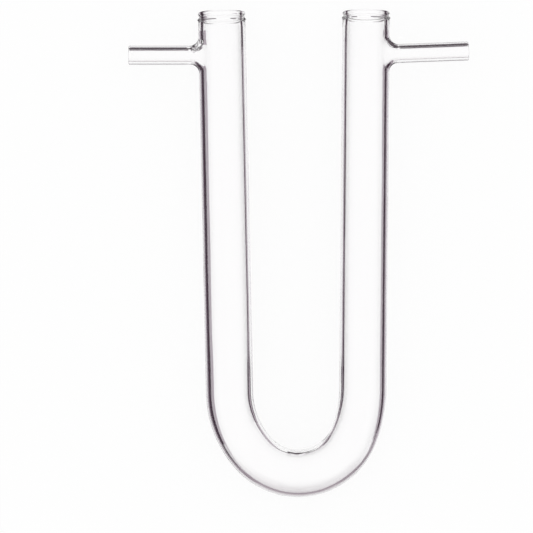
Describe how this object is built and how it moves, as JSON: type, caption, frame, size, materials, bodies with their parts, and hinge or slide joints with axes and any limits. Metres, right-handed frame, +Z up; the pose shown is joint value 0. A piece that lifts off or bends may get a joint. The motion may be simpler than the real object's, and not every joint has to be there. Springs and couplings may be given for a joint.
{
  "type": "drying tube",
  "caption": "U-shaped clear glass drying tube. Lipped mouths take stoppers, and a short side arm near the top of each leg takes a hose. It lies on its side.",
  "frame": {"origin": "middle of the object's outline seen from above, at the level of the surface that it lies on", "axes": "+Y along the legs towards the mouths, +Z up, square to the plane of the U, and the left leg at -X"},
  "size_m": [0.144, 0.2056, 0.0207],
  "materials": {
    "clear_glass": "clear borosilicate glass, smooth and fire polished, with faint waves where it was drawn and blown"
  },
  "bodies": {
    "root": {"glass_tube": "clear_glass"}
  },
  "joints": []
}
